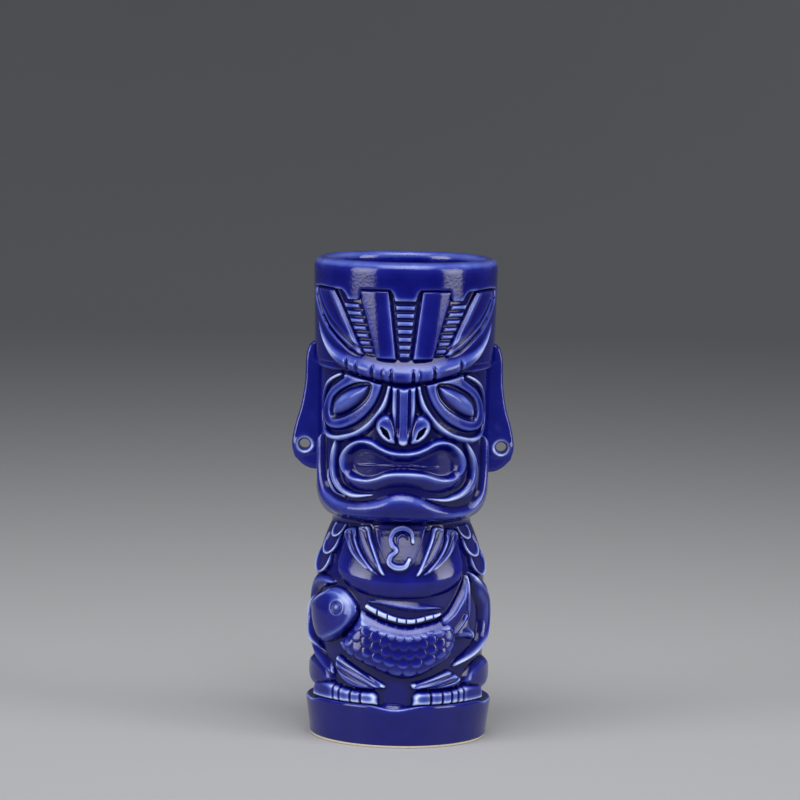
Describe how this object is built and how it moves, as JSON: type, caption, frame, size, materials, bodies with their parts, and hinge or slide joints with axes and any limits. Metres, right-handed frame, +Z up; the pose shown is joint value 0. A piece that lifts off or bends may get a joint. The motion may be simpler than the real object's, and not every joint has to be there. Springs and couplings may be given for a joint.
{
  "type": "tiki mug",
  "caption": "Tall glazed ceramic tiki mug: a turned cup with a relief face, pierced ears, a feathered headdress, a leaf collar and a fish held across the belly.",
  "frame": {"origin": "on the cup's axis, on the table that the foot ring stands on", "axes": "+Z up along the cup's axis, the face looks towards -Y, +X to the viewer's right"},
  "size_m": [0.0774, 0.066, 0.168],
  "materials": {
    "cobalt_glaze": "gloss",
    "bare_clay": "matte"
  },
  "bodies": {
    "root": {"anal_fin": "cobalt_glaze", "belly": "cobalt_glaze", "belly_fold": "cobalt_glaze", "bib": "cobalt_glaze", "cup": "cobalt_glaze", "dorsal_fin": "cobalt_glaze", "fish_body": "cobalt_glaze", "fish_head": "cobalt_glaze", "fish_tail": "cobalt_glaze", "foot_ring": "bare_clay", "headband": "cobalt_glaze", "headdress": "cobalt_glaze", "hook_pendant": "cobalt_glaze", "jaw": "cobalt_glaze", "left_arm": "cobalt_glaze", "left_cheek_fold": "cobalt_glaze", "left_ear": "cobalt_glaze", "left_eye_lens": "cobalt_glaze", "left_eye_ring": "cobalt_glaze", "left_eyelid": "cobalt_glaze", "left_foot": "cobalt_glaze", "left_inner_feather": "cobalt_glaze", "left_inner_leaf": "cobalt_glaze", "left_leg": "cobalt_glaze", "left_lower_lei_drop": "cobalt_glaze", "left_middle_lei_drop": "cobalt_glaze", "left_nostril": "cobalt_glaze", "left_outer_feather": "cobalt_glaze", "left_outer_leaf": "cobalt_glaze", "left_rungs": "cobalt_glaze", "left_upper_lei_drop": "cobalt_glaze", "lips": "cobalt_glaze", "middle_rungs": "cobalt_glaze", "nose_bridge": "cobalt_glaze", "pelvic_fin": "cobalt_glaze", "plinth": "cobalt_glaze", "right_arm": "cobalt_glaze", "right_cheek_fold": "cobalt_glaze", "right_ear": "cobalt_glaze", "right_eye_lens": "cobalt_glaze", "right_eye_ring": "cobalt_glaze", "right_eyelid": "cobalt_glaze", "right_foot": "cobalt_glaze", "right_inner_feather": "cobalt_glaze", "right_inner_leaf": "cobalt_glaze", "right_leg": "cobalt_glaze", "right_lower_lei_drop": "cobalt_glaze", "right_middle_lei_drop": "cobalt_glaze", "right_nostril": "cobalt_glaze", "right_outer_feather": "cobalt_glaze", "right_outer_leaf": "cobalt_glaze", "right_rungs": "cobalt_glaze", "right_upper_lei_drop": "cobalt_glaze"}
  },
  "joints": []
}
